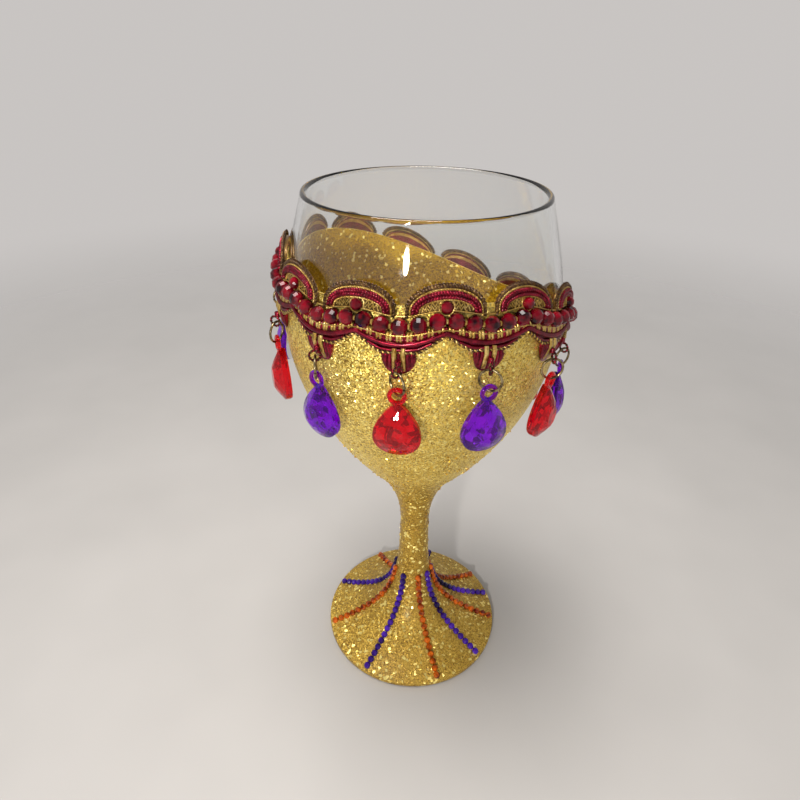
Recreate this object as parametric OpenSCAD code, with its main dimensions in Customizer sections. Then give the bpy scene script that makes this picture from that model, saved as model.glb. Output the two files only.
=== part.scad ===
// A party goblet: a clear stemmed glass under a coat of gold glitter. A scalloped braid with a
// row of beads is stuck round the bowl, a drop hangs on a jump ring from each tip of the braid,
// and rows of stones run down the foot.
// Millimetres, +Z up, origin at the centre of the ring that the foot stands on.

/* [Glass] */
// Height of the rim above the table
glass_h = 179.5; // [172:0.5:188]
// Radius of the foot
foot_r = 35; // [32:0.5:38]
// Thickness of the foot at its edge
foot_edge = 2; // [1.6:0.1:2.6]
// Rounding of the foot's lower edge
edge_round = 0.8; // [0.4:0.1:1.2]
// Height over which the foot's flare falls to about a third
flare_h = 9.2; // [8.2:0.1:10.2]
// Radius of the hollow under the foot
hollow_r = 27; // [24:0.5:29]
// Depth of that hollow at its centre
hollow_h = 2.4; // [1:0.1:4]
// Radius of the stem
stem_r = 4.9; // [4.4:0.1:5.6]
// Height of the swell between the stem and the bowl
swell_h = 29; // [25:0.5:33]
// Height of the bowl from the top of that swell to its widest part
cup_h = 61; // [57:0.5:65]
// Height of the bowl from its widest part to the rim
crown_h = 34.5; // [31:0.5:38]
// Radius of the glass at the top of the swell
cup_r = 15.4; // [13.5:0.1:17.5]
// Outward run of the wall there, for each mm of height
cup_run = 0.85; // [0.75:0.01:0.95]
// Radius of the glass at its widest
belly_r = 41.9; // [39.5:0.1:44.5]
// Outside radius of the rim
rim_r = 34.9; // [32.5:0.1:37.5]
// Inward run of the wall at the rim, for each mm of height
rim_run = 0.26; // [0.16:0.01:0.34]
// Thickness of the bowl's wall
wall = 1.7; // [1.4:0.1:2.2]
// Drop of the bottom of the bowl's inside below the top of the swell
floor_drop = 7; // [4:0.5:10]

/* [Glitter coat] */
// Glue film under the coat, the braid and the stones
glue = 0.1; // [0.08:0.01:0.16]
// Thickness of the coat
coat_t = 0.4; // [0.3:0.05:0.6]
// Drop of the joint between the stem's coat and the bowl's coat below the top of the swell
coat_join_drop = 14; // [6:0.5:22]
// Gap between those two coats
coat_gap = 0.1; // [0.05:0.01:0.2]
// Drop of the coat's upper edge below the tops of the braid's arches
coat_drop = 3; // [2:0.1:4]

/* [Braid] */
// Number of scallops, with one drop each
motifs = 12; // [10:2:12]
// Direction of the first tip, in degrees
tip_at = 23; // [0:1:29]
// Mean drop of the arches' tops below the rim
braid_drop = 19.5; // [16.5:0.5:22.5]
// Rise and fall of the braid once round the bowl
drift_one = 9.4; // [0:0.1:10]
// Direction in which that rise is greatest
drift_one_at = -141; // [-180:1:180]
// Rise and fall of the braid twice round the bowl
drift_two = 4.4; // [0:0.1:5]
// Direction in which that rise is greatest
drift_two_at = -45; // [-90:1:90]
// Height of an arch
arch_h = 6.9; // [6.2:0.1:7.6]
// Thickness of the woven bands
band_t = 0.8; // [0.5:0.1:1.1]
// Thickness of the gold cord along the arches' edge
edge_cord_d = 1.2; // [0.9:0.1:1.4]
// Thickness of the red cord inside it
red_cord_d = 2; // [1.6:0.1:2.2]
// Space between those cords, and between the red cord and the eye
cord_gap = 0.2; // [0.15:0.05:0.3]
// Rise of the feet of those cords above the feet of the arches, which keeps them off the beads
cord_foot = 0.6; // [0.5:0.1:1]
// Diameter of the eye in each arch
eye_d = 2; // [1.4:0.1:2.2]
// Diameter of a bead
bead_d = 3.7; // [3.2:0.1:3.9]
// Beads for each scallop
beads_each = 5; // [4:1:5]
// Drop of the bead row below the arches' tops
bead_drop = 8.5; // [8.3:0.1:8.9]
// Rise and fall of the bead row
bead_wave = 1.1; // [0.8:0.1:1.3]
// Drop of the swags' lower edge between the tips
notch_drop = 11.8; // [11.6:0.1:12.4]
// Drop of the swags' lower edge above the tips
swag_drop = 14.6; // [14.2:0.1:15.2]
// Thickness of the swags' cord
swag_cord_d = 1.8; // [1.5:0.1:2]
// Space between sewn pieces
stitch = 0.1; // [0.08:0.01:0.15]

/* [Tips] */
// Width of a tip's tab
tab_w = 9; // [7.5:0.1:10]
// Height of a tip's tab
tab_h = 4.4; // [4:0.1:5]
// Thickness of a tip's tab
tab_t = 2.4; // [2:0.1:2.8]
// Diameter of the knot under the tab
knot_d = 2.6; // [2.3:0.1:3]
// Diameter of the hole in the thread eyelet
eyelet_hole_d = 2.1; // [2:0.1:2.4]
// Thickness of the eyelet's thread
eyelet_t = 0.8; // [0.6:0.05:0.9]

/* [Jump rings and drops] */
// Diameter of a jump ring at the middle of its wire
ring_d = 6; // [5.4:0.1:6.6]
// Thickness of the ring's wire
wire_d = 0.7; // [0.5:0.05:0.8]
// Width of the slit in the ring
slit = 0.25; // [0.1:0.05:0.4]
// Turn of the rings from facing along the bowl, in degrees
ring_turn = 45; // [40:1:50]
// Space between the rings and the coat
ring_clear = 0.5; // [0.4:0.1:1]
// Play of a ring in its eyelet, and of a drop on its ring
play = 0.4; // [0.35:0.05:0.5]
// Width of a drop
drop_w = 13; // [11.5:0.1:14]
// Height of a drop below its loop
drop_h = 16.5; // [15:0.1:18]
// Thickness of a drop's edge
girdle_t = 2; // [1.6:0.1:2.2]
// Height of the cut front above that edge
front_t = 2.8; // [2.2:0.1:3.2]
// Depth of a drop's back behind the plane of its loop
drop_back = 2; // [1.7:0.05:2.3]
// Diameter of the hole in a drop's loop
loop_hole_d = 2.8; // [2.7:0.1:3]
// Thickness of that loop
loop_t = 1.1; // [0.9:0.1:1.2]

/* [Foot stones] */
// Diameter of a stone
stone_d = 2.4; // [1.8:0.1:2.5]
// Height of a stone
stone_h = 1.3; // [0.8:0.1:1.6]
// Diameter of a stone's flat top
stone_top_d = 1.4; // [1:0.1:1.6]
// Distance from stone to stone
stone_pitch = 2.7; // [2.6:0.05:3]
// Space from the foot's edge to the middle of the first stone, along the height
stone_start = 0.6; // [0.5:0.1:1]
// Height at which a row ends
row_top_z = 27; // [24:0.5:30]

/* [Hidden] */
$fn = 48;
// directions of the stone rows, purple and orange in turn, as they were stuck on by eye
PURPLE_ROWS = [158, 240, 323, 17, 77];
ORANGE_ROWS = [195, 289, 356, 37, 118];

function tip_name(k) = str(k % 2 == 0 ? "red_drop_" : "purple_drop_", floor(k / 2) + 1);

GOLD = [0.85, 0.66, 0.2];
DARK_RED = [0.42, 0.03, 0.1];
RED = [0.8, 0.05, 0.12];
PURPLE = [0.42, 0.1, 0.75];
BRASS = [0.55, 0.42, 0.2];

// the bowl and all that it carries are placed from the rim down, so the stem takes up the rest
belly_z = glass_h - crown_h;
cup_z = belly_z - cup_h;
neck_z = cup_z - swell_h;
floor_z = cup_z - floor_drop;
coat_join_z = cup_z - coat_join_drop;
braid_z = glass_h - braid_drop;

// heights above the glass of the layers that lie on it
coat_top = glue + coat_t;
band_in = coat_top + glue;
band_top = band_in + band_t;

pitch_deg = 360 / motifs;
// half a scallop's width, at the bowl's widest
half_w = PI * (belly_r + band_top) / motifs;

eyelet_r = (eyelet_hole_d + eyelet_t) / 2;
loop_r = (loop_hole_d + loop_t) / 2;
// how far a ring's wire rests below the middle of its eyelet, and above the middle of a drop's loop
ring_seat = (eyelet_hole_d - wire_d) / 2 - play;
loop_seat = (loop_hole_d - wire_d) / 2 - play;
tab_top = swag_drop + stitch;
eyelet_drop = tab_top + tab_h + (knot_d - eyelet_t) / 2 + eyelet_t / 4;
// distance from the glass to the middle of an eyelet, which keeps the turned ring off the coat
eyelet_out = coat_top + ring_clear + ring_d / 2 * cos(ring_turn) + wire_d / 2;

// Outline of the glass

function ease(t, from, to, run_from, run_to) =
    from * (1 - 3 * t ^ 2 + 2 * t ^ 3) + to * (3 * t ^ 2 - 2 * t ^ 3)
    + run_from * (t - 2 * t ^ 2 + t ^ 3) + run_to * (t ^ 3 - t ^ 2);

function ease_between(z, z0, r0, run0, z1, r1, run1) =
    ease((z - z0) / (z1 - z0), r0, r1, run0 * (z1 - z0), run1 * (z1 - z0));

// outside radius of the glass at a height
function glass_r(z) =
    z < neck_z ? stem_r + (foot_r - stem_r) * exp(-(z - foot_edge) / flare_h)
    : z < cup_z ? ease_between(z, neck_z, stem_r, 0, cup_z, cup_r, cup_run)
    : z < belly_z ? ease_between(z, cup_z, cup_r, cup_run, belly_z, belly_r, 0)
    : ease_between(z, belly_z, belly_r, 0, glass_h, rim_r, -rim_run);

SLOPE_STEP = 0.2;
function run(z) = (glass_r(z + SLOPE_STEP / 2) - glass_r(z - SLOPE_STEP / 2)) / SLOPE_STEP;

// the point [r, z] at a distance from the glass, square to its outline at height z
function skin(z, out) = let (s = run(z), k = out / sqrt(1 + s * s)) [glass_r(z) + k, z - s * k];

function steps(from, to, n) = [for (i = [0 : n - 1]) from + (to - from) * i / n];

lip_r = wall / 2;
rim_z = glass_h - lip_r;
// the foot's outline bends below this height, so its steps are closer there
flare_top_z = foot_edge + 3 * flare_h;
STEM_HEIGHTS = concat(steps(foot_edge, flare_top_z, 24), steps(flare_top_z, neck_z, 4));
CUP_HEIGHTS = steps(neck_z, cup_z, 8);
BOWL_HEIGHTS = concat(steps(cup_z, belly_z, 14), steps(belly_z, rim_z, 8));

function glass_outline() =
    let (
        floor_edge = skin(cup_z, -wall),
        rim_middle = [glass_r(rim_z) - lip_r, rim_z],
        inside = [for (z = BOWL_HEIGHTS) skin(z, -wall)])
    concat(
        [for (t = steps(0, 1, 6)) [hollow_r * t, hollow_h * (1 - t * t)]],
        [[hollow_r, 0]],
        [for (b = [-90 : 15 : 0])
            [foot_r - edge_round + edge_round * cos(b), edge_round + edge_round * sin(b)]],
        [for (z = concat(STEM_HEIGHTS, CUP_HEIGHTS, BOWL_HEIGHTS)) [glass_r(z), z]],
        [for (b = [0 : 15 : 180]) rim_middle + lip_r * [cos(b), sin(b)]],
        [for (i = [len(inside) - 1 : -1 : 0]) inside[i]],
        [for (t = [0.8 : -0.2 : 0])
            [floor_edge[0] * t, floor_z + (floor_edge[1] - floor_z) * t * t]]);

// The glass is one piece: bowl, stem and foot
module glass() {
    color([0.9, 0.95, 0.95, 0.4])
    rotate_extrude()
    polygon(glass_outline());
}

// Glitter coat

// a shell of coat on the glass between two heights
module coat(heights) {
    rotate_extrude()
    polygon(concat(
        [for (z = heights) skin(z, coat_top)],
        [for (i = [len(heights) - 1 : -1 : 0]) skin(heights[i], glue)]));
}

// height of the arches' tops in a direction
function level(a) =
    braid_z + drift_one * cos(a - drift_one_at) + drift_two * cos(2 * (a - drift_two_at));

// rise of that level for each mm along a circle of radius r
function slant(a, r) = (level(a + 1) - level(a - 1)) / (2 * PI / 180 * r);

// everything above the coat's upper edge, which rises and falls with the braid
module above_coat() {
    facets = 48;
    // the solid runs out to this many times the bowl's radius
    reach = 1.5;
    lid_z = glass_h + wall;
    function edge_z(a) = braid_z - coat_drop + (level(a) - braid_z) * reach;
    directions = [for (i = [0 : facets - 1]) 360 / facets * i];
    polyhedron(
        concat(
            [[0, 0, braid_z - coat_drop], [0, 0, lid_z]],
            [for (a = directions) [reach * belly_r * cos(a), reach * belly_r * sin(a), edge_z(a)]],
            [for (a = directions) [reach * belly_r * cos(a), reach * belly_r * sin(a), lid_z]]),
        [for (i = [0 : facets - 1])
            let (low = 2 + i, next_low = 2 + (i + 1) % facets)
            each [
                [0, low, next_low],
                [low, low + facets, next_low + facets],
                [low, next_low + facets, next_low],
                [1, next_low + facets, low + facets]]]);
}

module bowl_glitter() {
    top_z = braid_z + drift_one + drift_two;
    color(GOLD)
    difference() {
        coat(concat(
            steps(coat_join_z + coat_gap, cup_z, 4), steps(cup_z, belly_z, 14),
            steps(belly_z, top_z, 6)));
        above_coat();
    }
}

module stem_glitter() {
    color(GOLD)
    coat(concat(STEM_HEIGHTS, steps(neck_z, coat_join_z, 5), [coat_join_z]));
}

// Braid

// a point on the bowl: a direction, a drop below the arches' tops and a distance from the glass
function on_bowl(a, drop, out) =
    let (p = skin(level(a) - drop, out)) [p[0] * cos(a), p[0] * sin(a), p[1]];

function tip_direction(k) = tip_at + pitch_deg * k;
function arch_direction(k) = tip_direction(k + 0.5);

// how far a direction is from the nearest tip, from -0.5 to 0.5 of a scallop
function from_tip(a) = let (t = (a - tip_at) / pitch_deg) t - round(t);

function arch_drop(a) = let (x = 1 - 2 * abs(from_tip(a))) arch_h * (1 - sqrt(1 - x * x));
function bead_line(a) = bead_drop + bead_wave * cos(360 * from_tip(a));
function swag_line(a) = notch_drop + (swag_drop - notch_drop) * cos(180 * from_tip(a));

COLUMNS_EACH = 10;
COLUMNS = COLUMNS_EACH * motifs;
COLUMN_DIRECTIONS = [for (i = [0 : COLUMNS - 1]) tip_at + 360 / COLUMNS * i];

// a closed band round the bowl; edges holds, for each column, the drops of its rows from the top
module band(edges) {
    rows = len(edges[0]);
    around = 2 * rows;
    points = [for (i = [0 : COLUMNS - 1]) each concat(
        [for (j = [0 : rows - 1]) on_bowl(COLUMN_DIRECTIONS[i], edges[i][j], band_top)],
        [for (j = [rows - 1 : -1 : 0]) on_bowl(COLUMN_DIRECTIONS[i], edges[i][j], band_in)])];
    polyhedron(points, loft_faces(COLUMNS, around, true));
}

// triangles of a tube of count rings with sides points each
function loft_faces(count, sides, closed) = concat(
    [for (i = [0 : count - (closed ? 1 : 2)], j = [0 : sides - 1])
        let (
            a = i * sides, b = (i + 1) % count * sides, k = (j + 1) % sides)
        each [[a + j, b + j, b + k], [a + j, b + k, a + k]]],
    closed ? [] : [
        [for (j = [0 : sides - 1]) j],
        [for (j = [sides - 1 : -1 : 0]) (count - 1) * sides + j]]);

function unit(v) = v / norm(v);

CORD_SIDES = 6;

// a cord along points on the bowl
module cord(path, d, closed = false) {
    n = len(path);
    rings = [for (i = [0 : n - 1])
        let (
            before = closed ? path[(i + n - 1) % n] : path[max(i - 1, 0)],
            after = closed ? path[(i + 1) % n] : path[min(i + 1, n - 1)],
            along = unit(after - before),
            across = unit(cross(along, [path[i][0], path[i][1], 0])),
            up = cross(along, across))
        each [for (j = [0 : CORD_SIDES - 1])
            let (b = 360 / CORD_SIDES * j)
            path[i] + d / 2 * (cos(b) * across + sin(b) * up)]];
    polyhedron(rings, loft_faces(n, CORD_SIDES, closed));
}

// a cord in each arch, at a distance inside the arch's edge
module arch_cords(inset, d) {
    out = band_top + stitch + d / 2;
    foot = arch_h - cord_foot;
    reach = (half_w - inset) / half_w * pitch_deg / 2;
    for (k = [0 : motifs - 1])
        cord([for (b = [0 : 15 : 180])
            on_bowl(arch_direction(k) + reach * cos(b), foot - (foot - inset) * sin(b), out)], d);
}

module arch_band() {
    color(DARK_RED)
    band([for (a = COLUMN_DIRECTIONS)
        let (top = arch_drop(a), bottom = bead_line(a) - bead_d / 2 - stitch)
        [top, (top + bottom) / 2, bottom]]);
}

edge_inset = edge_cord_d / 2 + stitch;
red_inset = edge_inset + edge_cord_d / 2 + cord_gap + red_cord_d / 2;

module arch_edge_cords() {
    color(GOLD)
    arch_cords(edge_inset, edge_cord_d);
}

module arch_red_cords() {
    color(DARK_RED)
    arch_cords(red_inset, red_cord_d);
}

// a small bead sewn in the middle of each arch, under the red cord
module arch_eyes() {
    eye_drop = red_inset + red_cord_d / 2 + cord_gap + eye_d / 2;
    color(RED)
    for (k = [0 : motifs - 1])
        translate(on_bowl(arch_direction(k), eye_drop, band_top + stitch + eye_d / 2))
        sphere(d = eye_d);
}

module bead_row() {
    color(DARK_RED)
    for (i = [0 : motifs * beads_each - 1])
        let (a = tip_at + pitch_deg / beads_each * i)
        translate(on_bowl(a, bead_line(a), band_in + bead_d / 2))
        sphere(d = bead_d);
}

module swag_band() {
    color(GOLD)
    band([for (a = COLUMN_DIRECTIONS) [bead_line(a) + bead_d / 2 + stitch, swag_line(a)]]);
}

module swag_cord() {
    out = band_top + stitch + swag_cord_d / 2;
    color(DARK_RED)
    cord([for (a = COLUMN_DIRECTIONS) on_bowl(a, swag_line(a) - swag_cord_d / 2, out)],
        swag_cord_d, closed = true);
}

// Tips, rings and drops

function eyelet_z(k) = level(tip_direction(k)) - eyelet_drop;
function eyelet_radius(k) = glass_r(eyelet_z(k)) + eyelet_out;

module torus(r, d) {
    rotate_extrude()
    translate([r, 0])
    circle(d = d);
}

// moves what is drawn round the origin to the middle of an eyelet, with +X outwards
module at_eyelet(k) {
    rotate(tip_direction(k))
    translate([eyelet_radius(k), 0, eyelet_z(k)])
    children();
}

// a flat outline in YZ, given thickness along +X
module upright(t) {
    rotate([90, 0, 90])
    linear_extrude(t)
    children();
}

// a woven tab under each tip, with a knot and a thread eyelet that its ring hangs in
module tip_tab(k) {
    a = tip_direction(k);
    top_z = level(a) - tab_top;
    foot = skin(top_z, band_in + stitch);
    rotate(a)
    translate([foot[0], 0, foot[1]])
    rotate([0, atan(run(top_z - tab_h / 2)), 0])
    upright(tab_t)
    polygon([for (b = [0 : 15 : 180])
        let (y = tab_w / 2 * cos(b)) [y, slant(a, foot[0]) * y - tab_h * sin(b)]]);
    at_eyelet(k) {
        translate([-eyelet_t, 0, eyelet_r + (knot_d - eyelet_t) / 2])
        sphere(d = knot_d);
        rotate([0, 90, ring_turn])
        torus(eyelet_r, eyelet_t);
    }
}

module tip_tabs() {
    color(DARK_RED)
    for (k = [0 : motifs - 1])
        tip_tab(k);
}

// an open wire ring, which hangs in the eyelet and is slit on its outer side
module jump_ring(k) {
    color(BRASS)
    at_eyelet(k)
    translate([0, 0, -ring_seat - ring_d / 2])
    rotate([90, 0, ring_turn])
    rotate_extrude(angle = 360 - slit / (PI * ring_d) * 360)
    translate([ring_d / 2, 0])
    circle(d = wire_d);
}

DROP_POINTS = 20;
// outline of a drop with its point at the top, about the middle of its height
function drop_outline(share) =
    // the greatest value of sin(b) * sin(b / 2)
    let (widest = 4 / (3 * sqrt(3)))
    [for (i = [0 : DROP_POINTS - 1])
        let (b = 360 / DROP_POINTS * i)
        share * [drop_w / 2 / widest * sin(b) * sin(b / 2), drop_h / 2 * cos(b)]];

// the cuts of a drop's front: share of the outline, and share of the front's height
DROP_CUTS = [[0.8, 0.6], [0.5, 1]];

// a flat-backed drop with a cut front and a moulded loop, hanging on its ring
module drop(k) {
    loop_z = -loop_seat;
    point_z = loop_z - loop_hole_d / 2 - loop_t / 4;
    thin = 0.1;
    color(k % 2 == 0 ? RED : PURPLE)
    at_eyelet(k)
    translate([0, 0, -ring_seat - ring_d]) {
        translate([0, 0, loop_z])
        rotate([0, 90, 0])
        torus(loop_r, loop_t);
        translate([-drop_back, 0, point_z - drop_h / 2])
        hull() {
            upright(girdle_t)
            polygon(drop_outline(1));
            for (cut = DROP_CUTS)
                translate([girdle_t + front_t * cut[1] - thin, 0, 0])
                upright(thin)
                polygon(drop_outline(cut[0]));
        }
    }
}

// Stones on the foot

// heights of the stones of a row, a pitch apart along the foot's slope
function stone_heights(z) =
    z > row_top_z ? []
    : let (half = z + stone_pitch / 2 / sqrt(1 + run(z) ^ 2))
      concat([z], stone_heights(z + stone_pitch / sqrt(1 + run(half) ^ 2)));

// how far the hollow flare rises over the edge of a stone's flat back
function stone_lift(z) =
    let (
        s = run(z),
        square = [1, -s] / sqrt(1 + s * s),
        half = stone_d / 2 / sqrt(1 + s * s))
    max([for (side = [-half, half])
        (skin(z + side, coat_top) - skin(z, coat_top)) * square]);

module stone_row(a) {
    for (z = stone_heights(foot_edge + stone_start))
        let (p = skin(z, band_in + stone_lift(z)))
        rotate(a)
        translate([p[0], 0, p[1]])
        rotate([0, atan2(1, -run(z)), 0])
        cylinder(d1 = stone_d, d2 = stone_top_d, h = stone_h);
}

module purple_stone_row(i) {
    color([0.2, 0.08, 0.42])
    stone_row(PURPLE_ROWS[i]);
}

module orange_stone_row(i) {
    color([0.9, 0.25, 0.1])
    stone_row(ORANGE_ROWS[i]);
}

glass();
bowl_glitter();
stem_glitter();
arch_band();
arch_edge_cords();
arch_red_cords();
arch_eyes();
bead_row();
swag_band();
swag_cord();
tip_tabs();
for (i = [0 : len(PURPLE_ROWS) - 1])
    purple_stone_row(i);
for (i = [0 : len(ORANGE_ROWS) - 1])
    orange_stone_row(i);
for (k = [0 : motifs - 1])
    jump_ring(k);
for (k = [0 : motifs - 1])
    drop(k);
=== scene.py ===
# %% [markdown]
# # A party goblet
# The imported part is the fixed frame: a stemmed glass with its glitter coat, braid, rings, drops and
# stones. This lesson dresses that frame, one piece at a time, in the part's own millimetres, and each
# finished piece is scaled to metres and made to ride on its body.

# %% The frame
import random
from math import atan2, copysign, cos, degrees, exp, hypot, pi, radians, sin, sqrt, tau

import bmesh
import bpy
from mathutils import Matrix, Vector


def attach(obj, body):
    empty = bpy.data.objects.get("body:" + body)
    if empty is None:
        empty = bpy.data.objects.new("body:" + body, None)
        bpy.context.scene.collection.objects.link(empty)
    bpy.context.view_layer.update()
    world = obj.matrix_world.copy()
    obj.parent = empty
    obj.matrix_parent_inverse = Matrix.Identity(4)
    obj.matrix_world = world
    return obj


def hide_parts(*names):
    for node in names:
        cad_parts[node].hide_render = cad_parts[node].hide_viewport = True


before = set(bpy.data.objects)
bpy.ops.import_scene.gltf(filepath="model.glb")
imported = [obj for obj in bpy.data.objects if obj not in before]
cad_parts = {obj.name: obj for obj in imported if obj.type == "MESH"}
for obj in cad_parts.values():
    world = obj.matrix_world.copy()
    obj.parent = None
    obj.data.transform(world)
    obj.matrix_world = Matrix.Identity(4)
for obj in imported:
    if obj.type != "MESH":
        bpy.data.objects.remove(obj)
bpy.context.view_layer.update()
MM = 0.001

# %% [markdown]
# ## Camera
# The goblet was taken from a little above, with a wide lens close by. The place and turn below were
# fitted to the rim, the foot and the outline, so the render can be laid over the picture. A camera looks
# along its own -Z, so it is tipped up from straight down, turned about the vertical, and rolled last.

# %% Camera
IMAGE, FOCAL_PIXELS, SENSOR_MM = 800, 579.4, 36.0
CAMERA_AT = (0.0, -168.7, 214.0)
PITCH_DOWN, TURN, ROLL = 31.7, 2.19, 0.91


def rotation(angle, axis):
    """A turn about an axis, in degrees."""
    return Matrix.Rotation(radians(angle), 4, axis)


camera_data = bpy.data.cameras.new("camera")
camera_data.sensor_width = SENSOR_MM
camera_data.lens = FOCAL_PIXELS / IMAGE * SENSOR_MM
camera_data.clip_start = 0.01
camera = bpy.data.objects.new("camera", camera_data)
camera.matrix_world = (
    Matrix.Translation(Vector(CAMERA_AT) * MM)
    @ rotation(TURN, "Z")
    @ rotation(90 - PITCH_DOWN, "X")
    @ rotation(ROLL, "Z")
)
scene = bpy.context.scene
scene.collection.objects.link(camera)
scene.camera = camera
scene.view_settings.view_transform = "Standard"
print("camera lens:", round(camera_data.lens, 2), "mm")

# %% [markdown]
# ## Writing materials
# A finish is a small network of nodes. To write one as plain sums, a socket is wrapped in a class whose
# operators add Math nodes, so that 1 - mask works as it reads. Every other node comes from one method,
# which takes the node's type, its settings, and what goes into its sockets.


# %% Writing materials
class Tap:
    """A socket that sums can be written with."""

    def __init__(self, tree, socket=None):
        self.tree, self.socket = tree, socket

    def node(self, kind, settings=None, inputs=None, output=0):
        made = self.tree.nodes.new(kind)
        for name, value in (settings or {}).items():
            if name == "stops":
                stops = made.color_ramp.elements
                while len(stops) < len(value):
                    stops.new(1.0)
                for stop, (place, colour) in zip(stops, value):
                    stop.position, stop.color = place, (*colour, 1.0)
            else:
                setattr(made, name, value)
        for name, value in (inputs or {}).items():
            if isinstance(value, Tap):
                self.tree.links.new(value.socket, made.inputs[name])
            else:
                made.inputs[name].default_value = value
        return Tap(self.tree, made.outputs[output] if made.outputs else None)

    def math(self, operation, first, second):
        return self.node("ShaderNodeMath", {"operation": operation}, {0: first, 1: second})

    def __add__(self, other):
        return self.math("ADD", self, other)

    def __sub__(self, other):
        return self.math("SUBTRACT", self, other)

    def __mul__(self, other):
        return self.math("MULTIPLY", self, other)

    def __gt__(self, other):
        return self.math("GREATER_THAN", self, other)

    def __rsub__(self, other):
        return self.math("SUBTRACT", other, self)

    __radd__ = __add__


def new_finish(name):
    """An empty material, and a tap to build its nodes with."""
    material = bpy.data.materials.new(name)
    material.use_nodes = True
    material.node_tree.nodes.clear()
    return material, Tap(material.node_tree)


def show(tap, shader):
    tap.node("ShaderNodeOutputMaterial", inputs={"Surface": shader})


def surface(tap, inputs):
    """Ends a finish with one Principled shader."""
    show(tap, tap.node("ShaderNodeBsdfPrincipled", inputs=inputs))


def place_in_object(tap):
    return tap.node("ShaderNodeTexCoord", output="Object")


def speckle(tap, size_mm, detail=2.0):
    """Soft noise on Object coordinates, with spots of about the given size."""
    inputs = {"Vector": place_in_object(tap), "Scale": 1 / (size_mm * MM), "Detail": detail}
    return tap.node("ShaderNodeTexNoise", inputs=inputs, output="Fac")


def ramp(tap, amount, *stops):
    return tap.node("ShaderNodeValToRGB", {"stops": stops}, {"Fac": amount})


# %% [markdown]
# ## Floor and light
# The floor is a wide pale disc that fades out into a background of the same tone, so no edge shows.

# %% Floor
FLOOR_TONES = (0.3, (0.50, 0.482, 0.468)), (0.7, (0.535, 0.515, 0.50))
FLOOR_FADE = (0.16, 0.75)

floor_finish, tap = new_finish("pale_floor")
far = tap.node("ShaderNodeVectorMath", {"operation": "LENGTH"}, {0: place_in_object(tap)}, "Value")
fade = tap.node(
    "ShaderNodeMapRange",
    {"interpolation_type": "SMOOTHSTEP"},
    {"Value": far, "From Min": FLOOR_FADE[0], "From Max": FLOOR_FADE[1]},
)
ground = tap.node(
    "ShaderNodeBsdfPrincipled",
    inputs={
        "Base Color": ramp(tap, speckle(tap, 60.0), *FLOOR_TONES),
        "Roughness": 0.55,
        "Specular IOR Level": 0.3,
    },
)
clear = tap.node("ShaderNodeBsdfTransparent")
show(tap, tap.node("ShaderNodeMixShader", inputs={0: fade, 1: ground, 2: clear}))

bm = bmesh.new()
bmesh.ops.create_circle(bm, cap_ends=True, segments=96, radius=FLOOR_FADE[1])
floor_mesh = bpy.data.meshes.new("floor")
bm.to_mesh(floor_mesh)
bm.free()
floor_mesh.materials.append(floor_finish)
floor = bpy.data.objects.new("floor", floor_mesh)
scene.collection.objects.link(floor)
print("floor radius:", FLOOR_FADE[1], "m")

# %% [markdown]
# The picture was lit from close to the camera, so a soft lamp stands behind the camera, a little to its
# left, and a large one hangs overhead. The background shows to the camera, in reflections and through the
# glass, and grows darker overhead, as a room does, which keeps the reds and purples deep.

# %% Light
BACKGROUND, CEILING, SKY = (0.58, 0.555, 0.54), (0.20, 0.196, 0.192), (1.0, 0.99, 0.97, 1.0)
SKY_LIGHT, LAMP_TINT, MIDDLE = 0.40, (1.0, 0.97, 0.93), (0, 0, 110)

world = bpy.data.worlds.new("studio")
scene.world = world
world.use_nodes = True
world.node_tree.nodes.clear()
tap = Tap(world.node_tree)
seen = 0.0
for ray in ("Is Camera Ray", "Is Glossy Ray", "Is Transmission Ray"):
    seen = tap.node("ShaderNodeLightPath", output=ray) + seen
towards = tap.node("ShaderNodeTexCoord", output="Generated")
upwards = tap.node("ShaderNodeSeparateXYZ", inputs={"Vector": towards}, output="Z")
room = ramp(tap, upwards, (0.36, BACKGROUND), (0.85, CEILING))
backdrop = tap.node("ShaderNodeBackground", inputs={"Color": room, "Strength": 1.0})
sky = tap.node("ShaderNodeBackground", inputs={"Color": SKY, "Strength": SKY_LIGHT})
mixed = tap.node("ShaderNodeMixShader", inputs={0: seen, 1: sky, 2: backdrop})
tap.node("ShaderNodeOutputWorld", inputs={"Surface": mixed})


def lamp(name, at_mm, size_mm, watts):
    """A round soft lamp that points at the middle of the goblet."""
    data = bpy.data.lights.new(name, "AREA")
    data.shape, data.size = "DISK", size_mm * MM
    data.energy, data.color = watts, LAMP_TINT
    made = bpy.data.objects.new(name, data)
    made.location = Vector(at_mm) * MM
    aim = Vector(MIDDLE) - Vector(at_mm)
    made.rotation_euler = aim.to_track_quat("-Z", "Y").to_euler()
    made.visible_camera = False
    scene.collection.objects.link(made)


lamp("key", (-110, -458, 262), 34, 1.4)
lamp("overhead", (-80, 0, 640), 300, 3.0)

# %% [markdown]
# ## The glass
# The real glass is blown in one piece, so it is a lathe shape: half of its outline is drawn once and spun
# round the axis. The outline follows the same curves as the part. A smooth spin bends light evenly,
# which the frame's own facets would not. Its points lie closer together near the lip, because smooth
# shading over a long face beside a tight curve would bend the light like a lens.

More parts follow.
